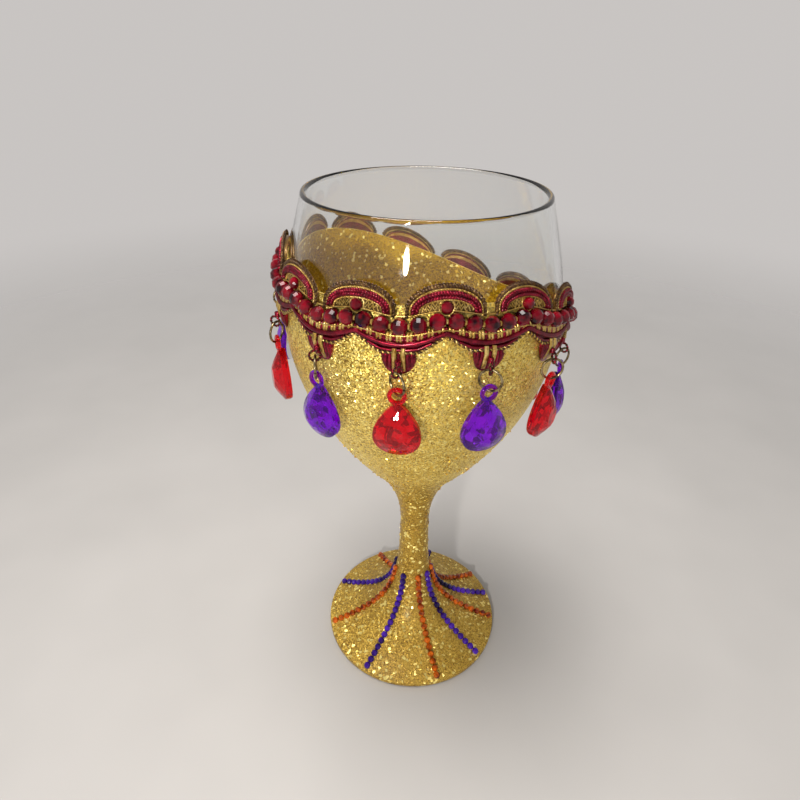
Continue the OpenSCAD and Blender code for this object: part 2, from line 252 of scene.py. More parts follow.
# %% Outline of the glass
GLASS_H, FOOT_R, FOOT_EDGE, EDGE_ROUND, FLARE_H, FLARE_TOP_Z = 179.5, 35.0, 2.0, 0.8, 9.2, 34.0
HOLLOW_R, HOLLOW_H, HOLLOW_LIP, STEM_R = 27.0, 2.4, 0.4, 4.9
BELLY_Z, BELLY_R = 145.0, 41.9
CUP_Z, CUP_R, CUP_RUN, NECK_Z = 84.0, 15.4, 0.85, 55.0
RIM_R, RIM_RUN, WALL, FLOOR_Z = 34.9, 0.26, 1.7, 77.0
LIP, THIN_FROM_Z, THIN_OVER = 1.55, 150.0, 24.0


def ease(z, z0, r0, run0, z1, r1, run1):
    """A smooth curve from radius r0 to r1, leaving and arriving with the given runs."""
    t, rise = (z - z0) / (z1 - z0), z1 - z0
    return (
        r0 * (1 - 3 * t**2 + 2 * t**3)
        + r1 * (3 * t**2 - 2 * t**3)
        + run0 * rise * (t - 2 * t**2 + t**3)
        + run1 * rise * (t**3 - t**2)
    )


def glass_r(z):
    """Outside radius of the glass at a height."""
    if z < NECK_Z:
        return STEM_R + (FOOT_R - STEM_R) * exp(-(z - FOOT_EDGE) / FLARE_H)
    if z < CUP_Z:
        return ease(z, NECK_Z, STEM_R, 0, CUP_Z, CUP_R, CUP_RUN)
    if z < BELLY_Z:
        return ease(z, CUP_Z, CUP_R, CUP_RUN, BELLY_Z, BELLY_R, 0)
    return ease(z, BELLY_Z, BELLY_R, 0, GLASS_H, RIM_R, -RIM_RUN)


def run(z):
    """How fast the radius grows with height."""
    return (glass_r(z + 0.1) - glass_r(z - 0.1)) / 0.2


def skin(z, out):
    """The point (r, z) at a distance from the glass, square to its outline at height z."""
    slope = run(z)
    step = out / hypot(1, slope)
    return glass_r(z) + step, z - slope * step


def spread(start, stop, count):
    """Even steps from start, without stop."""
    return [start + (stop - start) * i / count for i in range(count)]


def polar(radius, angle):
    return radius * cos(radians(angle)), radius * sin(radians(angle))


def arc(middle, radius, start, stop, count):
    points = [polar(radius, b) for b in spread(start, stop, count)]
    return [(middle[0] + x, middle[1] + y) for x, y in points]


def wall(z):
    """Thickness of the bowl, which thins towards the lip."""
    share = min(1.0, max(0.0, (z - THIN_FROM_Z) / THIN_OVER))
    return WALL + (LIP - WALL) * share


rim_z = GLASS_H - LIP / 2
bowl_heights = spread(CUP_Z, rim_z - 4, 56) + spread(rim_z - 4, rim_z - 1, 8) + spread(rim_z - 1, rim_z, 6)
floor_edge = skin(CUP_Z, -WALL)
outline = [(HOLLOW_R * t, HOLLOW_H * (1 - t * t)) for t in spread(0, 1, 10)]
outline += [(HOLLOW_R, 0), (HOLLOW_R + HOLLOW_LIP, 0)]
outline += arc((FOOT_R - EDGE_ROUND, EDGE_ROUND), EDGE_ROUND, -90, 0, 6)
outline += [(glass_r(z), z) for z in spread(FOOT_EDGE, FLARE_TOP_Z, 40) + spread(FLARE_TOP_Z, NECK_Z, 8)]
outline += [(glass_r(z), z) for z in spread(NECK_Z, CUP_Z, 24) + bowl_heights]
outline += arc((glass_r(rim_z) - LIP / 2, rim_z), LIP / 2, 0, 180, 12)
outline += [skin(z, -wall(z)) for z in reversed(bowl_heights)]
outline += [
    (floor_edge[0] * t, FLOOR_Z + (floor_edge[1] - FLOOR_Z) * t * t)
    for t in reversed(spread(0, 1, 10))
]
print("outline points:", len(outline))

# %% [markdown]
# These helpers serve the whole goblet. lathe() spins an outline once round the axis. piece() ends a piece: it
# scales the mesh to metres, gives it its finishes and lets it ride on a body of the frame.


# %% Lathe and piece helpers
def face_out(bm):
    bmesh.ops.recalc_face_normals(bm, faces=bm.faces)


def lathe(points, closed=False, steps=144):
    """A bmesh of an outline in r and z, spun once round the axis."""
    made = bmesh.new()
    verts = [made.verts.new((r, 0, z)) for r, z in points]
    ends = verts[1:] + verts[:1] if closed else verts[1:]
    edges = [made.edges.new(pair) for pair in zip(verts, ends)]
    bmesh.ops.spin(
        made,
        geom=verts + edges,
        cent=(0, 0, 0),
        axis=(0, 0, 1),
        angle=tau,
        steps=steps,
        use_merge=True,
    )
    bmesh.ops.remove_doubles(made, verts=made.verts, dist=1e-4)
    face_out(made)
    return made


def piece(name, bm, finishes, replaces=(), body="goblet", sharp=None):
    """Turns a bmesh in millimetres into an object that rides on a body of the frame."""
    bmesh.ops.scale(bm, vec=(MM, MM, MM), verts=bm.verts)
    mesh = bpy.data.meshes.new(name)
    bm.to_mesh(mesh)
    bm.free()
    for finish in finishes:
        mesh.materials.append(finish)
    if sharp is not None:
        mesh.shade_smooth()
        mesh.set_sharp_from_angle(angle=radians(sharp))
    made = bpy.data.objects.new(name, mesh)
    scene.collection.objects.link(made)
    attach(made, body)
    if replaces:
        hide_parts(*replaces)
    print(name, len(mesh.polygons), "faces")


# %% [markdown]
# Glass needs three things to look like glass: it bends light, it mirrors the lamps, and it lets the
# lamps through to what it holds. The last is a Transparent shader for shadow rays alone, because Cycles
# would otherwise shade the inside as if the wall were solid. Faint smears keep the gloss from being
# perfectly even.

# %% Clear glass
clear_glass, tap = new_finish("clear_glass")
smears = ramp(tap, speckle(tap, 9.0), (0.45, (0.0, 0.0, 0.0)), (0.8, (0.05, 0.05, 0.05)))
glassy = tap.node(
    "ShaderNodeBsdfPrincipled",
    inputs={
        "Base Color": (0.97, 0.985, 0.98, 1.0),
        "Roughness": smears,
        "IOR": 1.5,
        "Transmission Weight": 1.0,
    },
)
through = tap.node("ShaderNodeBsdfTransparent", inputs={"Color": (0.95, 0.96, 0.955, 1.0)})
shadow_ray = tap.node("ShaderNodeLightPath", output="Is Shadow Ray")
show(tap, tap.node("ShaderNodeMixShader", inputs={0: shadow_ray, 1: glassy, 2: through}))

piece("stemmed_glass", lathe(outline), [clear_glass], ["glass"], sharp=35)

# %% [markdown]
# ## Gold glitter
# The coat is flakes of gold film in clear glue, stuck on the outside of the bowl, the stem and the foot.
# A Voronoi pattern gives each flake its own tone and its own tilt: the tilt goes into Normal, so each
# flake mirrors another part of the room, as real flakes do. Larger, smoother flakes lie among the fine
# ones, and their pale base colour is a painted sparkle. The stem and foot have a browner coat with coarser
# sparkle than the bowl, and the coat on the foot is painted lighter, a painted pool of light on its top.

# %% Gold glitter
# This first colour is a painted sparkle, the pale base colour given to the larger flakes.
PAINTED_SPARKLE = (1.0, 0.81, 0.25, 1.0)
BOWL_TONES = (0.28, 0.16, 0.018), (0.86, 0.61, 0.108), (1.0, 0.83, 0.28)
LOW_TONES = (0.15, 0.075, 0.008), (0.50, 0.305, 0.038), (0.86, 0.60, 0.10)
STEM_TONES = (0.24, 0.13, 0.014), (0.50, 0.305, 0.038), (0.68, 0.45, 0.068)
# The foot's tones are lighter than the stem's: painted light where the foot's top faces the lamps.
PAINTED_LIT_FOOT_TONES = (0.25, 0.135, 0.015), (0.57, 0.35, 0.047), (0.78, 0.53, 0.088)
INNER_TONES = (0.27, 0.145, 0.004), (0.58, 0.34, 0.006), (0.74, 0.47, 0.012)


def flake_cells(tap, size_mm):
    """A random colour for each cell of about the given size."""
    inputs = {"Vector": place_in_object(tap), "Scale": 1 / (size_mm * MM)}
    return tap.node("ShaderNodeTexVoronoi", inputs=inputs, output="Color")


def channel(tap, colour, name):
    return tap.node("ShaderNodeSeparateColor", inputs={"Color": colour}, output=name)


def blend(tap, share, low, high):
    return tap.node("ShaderNodeMix", {"data_type": "RGBA"}, {0: share, 6: low, 7: high}, 2)


def tilted(tap, cells, tilt):
    """The surface's own normal, tipped by each cell's random colour."""
    centred = tap.node("ShaderNodeVectorMath", {"operation": "SUBTRACT"}, {0: cells, 1: (0.5, 0.5, 0.5)})
    tipped = tap.node("ShaderNodeVectorMath", {"operation": "SCALE"}, {0: centred, "Scale": tilt})
    straight = tap.node("ShaderNodeNewGeometry", output="Normal")
    leaning = tap.node("ShaderNodeVectorMath", {"operation": "ADD"}, {0: straight, 1: tipped})
    return tap.node("ShaderNodeVectorMath", {"operation": "NORMALIZE"}, {0: leaning})


def glitter(name, tones, low_tones, low_mm, fine_mm, coarse_mm, coarse_share, tilt, metallic):
    """Gold flakes in glue. The tones change to the low ones between two heights."""
    finish, tap = new_finish(name)
    fine, coarse = flake_cells(tap, fine_mm), flake_cells(tap, coarse_mm)
    is_coarse = channel(tap, coarse, "Blue") > 1 - coarse_share
    shade = channel(tap, fine, "Red") + (speckle(tap, 14.0) - 0.5) * 0.5
    high, low = (
        ramp(tap, shade, (0.04, dark), (0.44, mid), (0.6, mid), (0.96, light))
        for dark, mid, light in (tones, low_tones)
    )
    height = tap.node("ShaderNodeSeparateXYZ", inputs={"Vector": place_in_object(tap)}, output="Z")
    climb = tap.node(
        "ShaderNodeMapRange", inputs={"Value": height, "From Min": low_mm[0] * MM, "From Max": low_mm[1] * MM}
    )
    # The larger flakes take the painted sparkle colour.
    colour = blend(tap, is_coarse, blend(tap, climb, low, high), PAINTED_SPARKLE)
    lean = tap.node("ShaderNodeMix", {"data_type": "VECTOR"}, {0: is_coarse, 4: fine, 5: coarse}, 1)
    surface(tap, {
        "Base Color": colour,
        "Metallic": metallic,
        "Roughness": 0.45 - is_coarse * 0.15,
        "Normal": tilted(tap, lean, tilt),
        "Coat Weight": 0.15,
        "Coat Roughness": 0.3,
    })
    return finish


bowl_gold = glitter("bowl_gold_glitter", BOWL_TONES, LOW_TONES, (72, 92), 0.31, 0.55, 0.08, 1.05, 0.7)
# On the stem's coat the low tones are the foot's, which are painted lighter, a painted pool of light.
stem_gold = glitter("stem_gold_glitter", STEM_TONES, PAINTED_LIT_FOOT_TONES, (7, 18), 0.34, 0.95, 0.08, 0.9, 0.55)
inner_gold = glitter("inner_gold_glitter", INNER_TONES, INNER_TONES, (72, 90), 0.40, 0.90, 0.05, 0.7, 0.5)
print("glitter finishes: 3")

# %% [markdown]
# The bowl's coat ends in a wavy edge behind the braid, because the braid was stuck on by eye and dips on
# one side. The level of the braid is one rule, a rise once round the bowl and another twice round it, and
# the coat, the braid, the rings and the drops all take their heights from it. The coat's inner face lies a
# hair inside the glass, because glue leaves no air between them, and so the wall shows gold from within.
# A narrow ring of the same coat hides the edge of the foot.

# %% Coat on the bowl, stem and foot
COAT_TOP, COAT_DROP, GLUED_IN = 0.5, 5.0, 0.03
COAT_JOIN_Z, COAT_GAP, EDGE_COAT = 70.0, 0.1, 0.3
BRAID_Z, DRIFT_ONE, DRIFT_ONE_AT, DRIFT_TWO, DRIFT_TWO_AT = 160.0, 9.4, -141.0, 4.4, -45.0


def level(a):
    """Height of the tops of the braid's arches in a direction, in degrees."""
    once = DRIFT_ONE * cos(radians(a - DRIFT_ONE_AT))
    return BRAID_Z + once + DRIFT_TWO * cos(radians(2 * (a - DRIFT_TWO_AT)))


def coat_edge(a):
    return level(a) - COAT_DROP


def turned(r, z, a):
    return Vector((*polar(r, a), z))


def spread_to(start, stop, count):
    return spread(start, stop, count) + [stop]


def coat(low_z, top_of, rows):
    """A closed skin of coat: spun as a plain tube, then each point is put on the glass."""
    outer, between, inner = 2.0, 1.5, 1.0
    shares = spread_to(0, 1, rows)
    tube = [(outer, share) for share in shares] + [(inner, share) for share in reversed(shares)]
    made = lathe(tube, closed=True, steps=192)
    for face in made.faces:
        face.material_index = int(all(v.co.xy.length < between for v in face.verts))
    for v in made.verts:
        a = degrees(atan2(v.co.y, v.co.x))
        out = COAT_TOP if v.co.xy.length > between else -GLUED_IN
        v.co = turned(*skin(low_z + (top_of(a) - low_z) * v.co.z, out), a)
    face_out(made)
    return made


bowl_coat = coat(COAT_JOIN_Z + COAT_GAP, coat_edge, 56)
piece("glitter_on_bowl", bowl_coat, [bowl_gold, inner_gold], ["bowl_glitter"], sharp=40)
stem_coat = coat(FOOT_EDGE, lambda a: COAT_JOIN_Z, 60)
piece("glitter_on_stem", stem_coat, [stem_gold, inner_gold], ["stem_glitter"], sharp=40)

under = FOOT_R - GLUED_IN
edge_coat = [(under, 0.6), (FOOT_R + 0.28, 0.85), (FOOT_R + EDGE_COAT, FOOT_EDGE + 0.1)]
edge_coat += [skin(FOOT_EDGE, COAT_TOP), (under, FOOT_EDGE)]
piece("glitter_on_edge", lathe(edge_coat, closed=True), [stem_gold], sharp=60)

# %% [markdown]
# Some flakes stand up out of the glue and catch a lamp on their own, which is what makes glitter twinkle
# as it turns. They are real: thin six-sided plates, each with its own lean, thrown over the coat with a
# seeded random so that each run is the same. They are made a handful at a time and poured together,
# because adding to a small mesh is quick and adding to a large one is slow.

# %% Loose flakes
FLAKE_T, HANDFUL, STEEPEST = 0.05, 100, 1.6
RAISED, MOST_RAISED_AT = 0.3, 60
BOWL_FLAKES_Z, LOW_FLAKES_TOP_Z = 72.0, 112.0


def pour(source, target):
    """Empties one bmesh into another."""
    mesh = bpy.data.meshes.new("poured")
    source.to_mesh(mesh)
    source.clear()
    target.from_mesh(mesh)
    bpy.data.meshes.remove(mesh)


def stuck_on(z, out, a):
    """The frame of a small thing on the glass, at a height and a direction: its z points straight out."""
    tip = degrees(atan2(1, -run(z)))
    return Matrix.Translation(turned(*skin(z, out), a)) @ rotation(a, "Z") @ rotation(tip, "Y")


def flakes(seed, count, low_z, top_of, sizes, lean):
    """Thin six-sided plates thrown over the coat, about as many on each square millimetre of it."""
    rng = random.Random(seed)
    made, handful = bmesh.new(), bmesh.new()
    widest = max(glass_r(z) for z in spread_to(low_z, BELLY_Z, 40))
    placed = 0
    while placed < count:
        a, share, keep = rng.uniform(-180, 180), rng.random(), rng.random()
        z = low_z + (top_of(a) - low_z) * share
        if keep > glass_r(z) * hypot(1, run(z)) / (widest * STEEPEST):
            continue
        spin, tip, roll = rng.uniform(0, 360), rng.gauss(0, lean), rng.gauss(0, lean)
        radius = rng.uniform(*sizes) / 2
        rise = RAISED * radius * sin(radians(min(abs(tip), MOST_RAISED_AT)))
        seat = stuck_on(z, COAT_TOP + rise, a) @ rotation(tip, "X") @ rotation(roll, "Y")
        seat = seat @ rotation(spin, "Z")
        bmesh.ops.create_cone(
            handful, cap_ends=True, segments=6, radius1=radius, radius2=radius, depth=FLAKE_T, matrix=seat
        )
        placed += 1
        if placed % HANDFUL == 0:
            pour(handful, made)
    pour(handful, made)
    handful.free()
    return made


flake_gold, tap = new_finish("gold_flake")
warm = channel(tap, flake_cells(tap, 0.6), "Red")
surface(tap, {
    "Base Color": ramp(tap, warm, (0.0, (0.70, 0.47, 0.07)), (1.0, (1.0, 0.78, 0.24))),
    "Metallic": 0.9,
    "Roughness": 0.26 + warm * 0.14,
})
bowl_flakes = flakes(7, 3600, BOWL_FLAKES_Z, lambda a: coat_edge(a) - 1.0, (0.22, 0.38), 14.0)
low_flakes = flakes(5, 700, BOWL_FLAKES_Z, lambda a: LOW_FLAKES_TOP_Z, (0.5, 0.9), 34.0)
pour(low_flakes, bowl_flakes)
low_flakes.free()
piece("flakes_on_bowl", bowl_flakes, [flake_gold])
stem_flakes = flakes(11, 800, FOOT_EDGE + 0.4, lambda a: BOWL_FLAKES_Z, (0.5, 1.1), 17.0)
piece("flakes_on_stem", stem_flakes, [flake_gold])

# %% [markdown]
# ## The braid
# A braid is made flat and sold by the metre, and then stuck round the bowl, and it is modelled the same
# way. In the flat, x runs along the braid, y is up and z is out of the glass. When its cords are done,
# wrap() bends the flat braid round the bowl, down at the level that the rule above gives.

# %% Laying the braid on the bowl
MOTIFS, TIP_AT = 12, 23.0
BAND_IN, BAND_TOP = 0.6, 1.4
PITCH = tau * (BELLY_R + BAND_TOP) / MOTIFS
LENGTH = PITCH * MOTIFS
ARCH_FOOT, ARCH_GAP, NOTCH_DROP, SWAG_DROP = 6.1, 1.1, 11.8, 14.6
BEAD_D, BEADS_EACH, BEAD_DROP, BEAD_WAVE = 3.7, 5, 8.95, 0.65


def braid_direction(x):
    return TIP_AT + 360 * x / LENGTH


def wrap(flat, seam=2e-3):
    """Bends a flat braid round the bowl, and closes it where its ends meet, within a seam's width."""
    for v in flat.verts:
        a = braid_direction(v.co.x)
        v.co = turned(*skin(level(a) + v.co.y, v.co.z), a)
    bmesh.ops.remove_doubles(flat, verts=flat.verts, dist=seam)


def from_tip(x):
    """How far a place is from the nearest tip, from -0.5 to 0.5 of a scallop."""
    return x / PITCH - round(x / PITCH)


def arch_drop(x):
    """Upper edge of the woven band: a half oval in each arch, with a dip to the beads between two."""
    side = min(1.0, (PITCH / 2 - PITCH * abs(from_tip(x))) / (PITCH / 2 - ARCH_GAP - 1.0))
    return ARCH_FOOT + 1 - ARCH_FOOT * sqrt(1 - side * side)


def bead_drop(x):
    return BEAD_DROP + BEAD_WAVE * cos(tau * from_tip(x))


def swag_drop(x):
    return NOTCH_DROP + (SWAG_DROP - NOTCH_DROP) * cos(pi * from_tip(x))


TIPS = [PITCH * k for k in range(MOTIFS)]
ARCHES = [PITCH * (k + 0.5) for k in range(MOTIFS)]
print("braid:", round(LENGTH, 1), "mm long, one scallop each", round(PITCH, 2), "mm")

# %% [markdown]
# The braid's cords are a core wrapped in metallic thread. A curve with a round bevel makes each one: a
# ribbed cord changes its radius from point to point, which reads as the turns of the wrapping, and a
# twisted cord is two thinner ones wound round each other.

# %% Cords
RIB_WAIST, STRAND, STEPS_A_TURN = 0.8, 0.56, 8


def evenly(path, step):
    """The points of a path, spaced out evenly along it in an even number of steps."""
    path = [Vector(p) for p in path]
    lengths = [(q - p).length for p, q in zip(path, path[1:])]
    count = 2 * max(1, round(sum(lengths) / step / 2))
    gap, made, left, i = sum(lengths) / count, [path[0]], 0.0, 0
    for n in range(1, count):
        target = gap * n
        while left + lengths[i] < target:
            left += lengths[i]
            i += 1
        made.append(path[i].lerp(path[i + 1], (target - left) / lengths[i]))
    return made + [path[-1]]


def add_cords(bm, paths, thickness, finish=0, rib=None, fine=1, capped=True):
    """Adds round cords along paths. rib is the length of one turn of wrapping, and fine adds sides."""
    curve = bpy.data.curves.new("cord", "CURVE")
    curve.dimensions = "3D"
    curve.bevel_depth, curve.bevel_resolution = thickness / 2, fine
    curve.use_fill_caps = capped
    for path in paths:
        points = evenly(path, rib / 2) if rib else path
        spline = curve.splines.new("POLY")
        spline.points.add(len(points) - 1)
        for i, (point, place) in enumerate(zip(spline.points, points)):
            point.co = (*place, 1.0)
            point.radius = 1.0 if not rib or i % 2 else RIB_WAIST
    holder = bpy.data.objects.new("cord", curve)
    mesh = bpy.data.meshes.new_from_object(holder)
    for face in mesh.polygons:
        face.material_index = finish
    bm.from_mesh(mesh)
    bpy.data.objects.remove(holder)
    bpy.data.meshes.remove(mesh)
    bpy.data.curves.remove(curve)


def wound(path, thickness, turn, phase):
    """The path of one strand of a twisted cord. A turn below zero winds the other way."""
    points = evenly(path, abs(turn) / STEPS_A_TURN)
    made = []
    for i, place in enumerate(points):
        ahead = points[min(i + 1, len(points) - 1)] - points[max(i - 1, 0)]
        across = Vector((-ahead.y, ahead.x, 0)).normalized()
        b = copysign(tau, turn) * (i / STEPS_A_TURN + phase)
        made.append(place + thickness / 4 * (cos(b) * across + sin(b) * Vector((0, 0, 1))))
    return made


def add_twisted(bm, paths, thickness, turn, finishes=(0, 0)):
    for strand, finish in enumerate(finishes):
        strands = [wound(path, thickness, turn, strand / 2) for path in paths]
        add_cords(bm, strands, thickness * STRAND, finish)


# %% [markdown]
# The threads are metallic: dark red, antique gold, and a dark bronze in the edging. Each is a little
# uneven in tone along its length, with a fine grain from the twist of its film.


# %% Thread finishes
def bump(tap, height, strength, distance_mm):
    inputs = {"Height": height, "Strength": strength, "Distance": distance_mm * MM}
    return tap.node("ShaderNodeBump", inputs=inputs)


def thread(name, tones, metallic, roughness):
    finish, tap = new_finish(name)
    grain = speckle(tap, 0.35, detail=3.0)
    tone = speckle(tap, 2.2) * 0.5 + grain * 0.5
    surface(tap, {
        "Base Color": ramp(tap, tone, *zip((0.3, 0.5, 0.72), tones)),
        "Metallic": metallic,
        "Roughness": roughness - 0.1 + grain * 0.2,
        "Normal": bump(tap, grain, 0.5, 0.08),
        "Specular IOR Level": 0.2,
        "Coat Weight": 0.3,
        "Coat Roughness": 0.14,
    })
    return finish


RED = (0.04, 0.001, 0.005), (0.18, 0.004, 0.016), (0.48, 0.016, 0.05)
GOLD = (0.22, 0.11, 0.016), (0.56, 0.36, 0.08), (0.90, 0.70, 0.29)
BRONZE = (0.02, 0.008, 0.004), (0.07, 0.03, 0.012), (0.22, 0.11, 0.04)
LACE = (0.03, 0.012, 0.004), (0.11, 0.055, 0.014), (0.34, 0.20, 0.05)
BACKING = (0.02, 0.002, 0.005), (0.13, 0.008, 0.02), (0.36, 0.03, 0.06)
red_thread = thread("red_thread", RED, 0.85, 0.32)
gold_thread = thread("gold_thread", GOLD, 0.85, 0.32)
bronze_thread = thread("bronze_thread", BRONZE, 0.7, 0.4)
lace_ground = thread("lace_ground", LACE, 0.7, 0.42)
backing = thread("red_backing", BACKING, 0.5, 0.4)
print("thread finishes: 5")

# %% [markdown]
# Under the cords lie two woven bands, one behind the arches and one below the beads. Each is a grid that
# is shaped to its two edges in the flat, given thickness, and then wrapped. The back shows through the
# glass: it is dark red, with an arc of gold where the gold thread of the edge is sewn through.

# %% Woven bands
COLUMNS_EACH, BAND_ROWS, SEWN_FROM, SEWN_TO = 40, 10, 0.7, 0.9
HEM_TOP, HEM_FOOT, HEM_SLOPE = 12.2, 16.2, 0.60


def only(kind, geom):
    return [g for g in geom if isinstance(g, kind)]


def band(top_of, bottom_of):
    """A closed woven band between two rules. Its back has finish 1, and finish 2 where it is sewn."""
    flat = bmesh.new()
    bmesh.ops.create_grid(flat, x_segments=COLUMNS_EACH * MOTIFS, y_segments=BAND_ROWS, size=0.5)
    for v in flat.verts:
        x, share = (v.co.x + 0.5) * LENGTH, v.co.y + 0.5
        v.co = (x, -(bottom_of(x) + (top_of(x) - bottom_of(x)) * share), BAND_IN)
    grown = bmesh.ops.extrude_face_region(flat, geom=flat.faces[:])["geom"]
    bmesh.ops.translate(flat, verts=only(bmesh.types.BMVert, grown), vec=(0, 0, BAND_TOP - BAND_IN))
    for face in flat.faces:
        x, y, z = face.calc_center_median()
        if z < BAND_IN + 0.01:
            share = (-y - bottom_of(x)) / (top_of(x) - bottom_of(x))
            face.material_index = 2 if SEWN_FROM < share < SEWN_TO else 1
    for end in (0.0, LENGTH):
        walls = [f for f in flat.faces if all(abs(v.co.x - end) < 1e-3 for v in f.verts)]
        bmesh.ops.delete(flat, geom=walls, context="FACES")
    wrap(flat)
    face_out(flat)
    return flat


def hem_drop(x):
    """Lower edge of the band below the beads: from each notch straight down to a tip, and across it."""
    return min(HEM_FOOT, HEM_TOP + HEM_SLOPE * PITCH * (0.5 - abs(from_tip(x))))


arch_base = band(arch_drop, lambda x: bead_drop(x) - BEAD_D / 2 - 0.1)
piece("arch_base", arch_base, [lace_ground, backing, gold_thread], ["arch_band"], sharp=50)
swag_base = band(lambda x: bead_drop(x) + BEAD_D / 2 + 0.1, hem_drop)
piece("swag_base", swag_base, [red_thread, backing, backing], ["swag_band"], sharp=50)

# %% [markdown]
# An arch has a dark twisted edge, and inside it two red cords twisted opposite ways, so that they lie like a
# plait. All lines of an arch follow the same half oval. A line is given by how far it is set in, how far out
# it lies and how long its feet are.

# %% Arches
EDGE_LINE, OUTER_RED, INNER_RED = (0.5, 2.0, 1.5), (1.95, 2.3, 0.6), (2.9, 2.25, 0.5)


def arch_path(middle, inset, out, feet=0.0, start=0, stop=180):
    """A half oval inside an arch's edge, from left to right. feet carries its ends straight down."""
    wide, high = PITCH / 2 - ARCH_GAP - inset, ARCH_FOOT - inset
    points = [polar(1, b) for b in spread_to(start, stop, 36)]
    path = [Vector((middle - wide * x, high * y - ARCH_FOOT, out)) for x, y in points]
    down = Vector((0, -feet, 0))
    return [path[0] + down] + path + [path[-1] + down] if feet else path


edge = bmesh.new()
add_twisted(edge, [arch_path(x, *EDGE_LINE) for x in ARCHES], 0.95, 1.5, (0, 1))
wrap(edge)
piece("arch_edges", edge, [bronze_thread, lace_ground], ["arch_edge_cords"], sharp=60)

red_cords = bmesh.new()
add_twisted(red_cords, [arch_path(x, *OUTER_RED) for x in ARCHES], 1.15, 1.5)
add_twisted(red_cords, [arch_path(x, *INNER_RED)[::-1] for x in ARCHES], 1.1, -1.5)
wrap(red_cords)
piece("arch_reds", red_cords, [red_thread], ["arch_red_cords"], sharp=60)

# %% [markdown]
# A row of tiny dark picot loops stands on the edge. A gold thread lies over the red cords, turns round their
# left foot and runs back under them, and two gold squiggles fill the space round the eye.

# %% Picots and lace
PICOT_LINE, PICOT_STEP, PICOT, PICOT_WIDE = (0.3, 1.9), 0.95, 0.5, 0.8
OVER_LINE, UNDER_LINE = (1.2, 2.05, 1.4), (3.55, 1.95)
ZIGZAG_STEP, ZIGZAG, LACE_OUT, LACE_RISE = 0.32, 0.5, 1.75, 0.12


def picot(path, i):
    """A small loop that stands out of an arch's edge."""
    at, along = path[i], (path[i + 1] - path[i - 1]).normalized()
    out = Vector((-along.y, along.x, 0))
    points = [polar(1, b) for b in (0, 50, 90, 130, 180)]
    return [at + PICOT * (along * x * PICOT_WIDE + out * y) for x, y in points]


picots = bmesh.new()
loops = []
for x in ARCHES:
    line = evenly(arch_path(x, *PICOT_LINE, start=4, stop=176), PICOT_STEP)
    loops += [picot(line, i) for i in range(1, len(line) - 1)]
add_cords(picots, loops, 0.36, fine=0)
wrap(picots)
piece("arch_picots", picots, [bronze_thread], sharp=80)


def hooked_thread(middle):
    """The gold thread: over the red cords, round their left foot, and back under them."""
    over, under = arch_path(middle, *OVER_LINE)[:0:-1], arch_path(middle, *UNDER_LINE)
    centre, reach = (over[-1] + under[0]) / 2, (under[0] - over[-1]).length / 2
    return over + [centre + Vector((*polar(reach, b), 0)) for b in spread(195, 360, 12)] + under


def squiggle(middle, inset):
    """A thread that zigzags along a small arch inside the cords."""
    line = evenly(arch_path(middle, inset, LACE_OUT, start=2, stop=178), ZIGZAG_STEP)
    return [p + Vector((0, ZIGZAG * sin(i * pi / 2), LACE_RISE)) for i, p in enumerate(line)]


inner = bmesh.new()
add_twisted(inner, [hooked_thread(x) for x in ARCHES], 0.62, 1.2)
add_cords(inner, [squiggle(x, 4.3) for x in ARCHES], 0.4)
add_cords(inner, [squiggle(x, 5.2) for x in ARCHES], 0.36)
wrap(inner)
piece("arch_gold_lace", inner, [gold_thread], sharp=60)
print("picots:", len(loops))

# %% [markdown]
# ## Beads
# The beads are dark red cut beads, threaded with small gold ones between. A bead is a sphere with few
# faces, left flat, so that its cuts flash one at a time. The eye of each arch is a smaller bead inside a
# ring of gold thread.

# %% Beads
BEAD_SHOWN_D, SPACER_D, SPACER_SQUASH = 4.25, 1.5, 0.75
EYE_D, EYE_DROP, EYE_OUT, EYE_RING_R, EYE_RING_OUT = 3.2, 5.2, 2.2, 1.9, 1.9


def cut_stone(name, deep, bright, transmission, patch_mm):
    """Coloured cut plastic: glossy, darker and paler in patches, partly clear."""
    finish, tap = new_finish(name)
    surface(tap, {
        "Base Color": ramp(tap, speckle(tap, patch_mm), (0.35, deep), (0.65, bright)),
        "Roughness": 0.05 + speckle(tap, 0.8) * 0.06,
        "IOR": 1.52,
        "Specular IOR Level": 0.3,
        "Transmission Weight": transmission,
    })
    return finish


def add_bead(bm, x, drop, out, d, cuts, finish=0, squash=1.0, spin=0.0):
    """A cut bead on its thread. spin rolls it about the thread, in degrees."""
    a = braid_direction(x)
    seat = stuck_on(level(a) - drop, out, a) @ rotation(90, "X") @ rotation(spin, "Z")
    seat = seat @ Matrix.Diagonal((1, 1, squash, 1))
    made = bmesh.ops.create_uvsphere(bm, u_segments=cuts[0], v_segments=cuts[1], radius=d / 2, matrix=seat)
    for face in {f for v in made["verts"] for f in v.link_faces}:
        face.material_index = finish


red_bead = cut_stone("red_bead", (0.012, 0.0, 0.002), (0.25, 0.002, 0.012), 0.1, 3.4)
beads = bmesh.new()
rng = random.Random(2)
bead_step, bead_out = PITCH / BEADS_EACH, BAND_IN + BEAD_D / 2
for i in range(MOTIFS * BEADS_EACH):
    x = bead_step * i
    add_bead(beads, x, bead_drop(x), bead_out, BEAD_SHOWN_D, (10, 7), spin=rng.uniform(0, 360))
for i in range(MOTIFS * BEADS_EACH):
    x = bead_step * (i + 0.5)
    add_bead(beads, x, bead_drop(x), bead_out, SPACER_D, (8, 5), 1, SPACER_SQUASH)
piece("beads", beads, [red_bead, gold_thread], ["bead_row"])

eyes = bmesh.new()
for x in ARCHES:
    add_bead(eyes, x, EYE_DROP, EYE_OUT, EYE_D, (12, 7), spin=rng.uniform(0, 360))
piece("eyes", eyes, [red_bead], ["arch_eyes"])

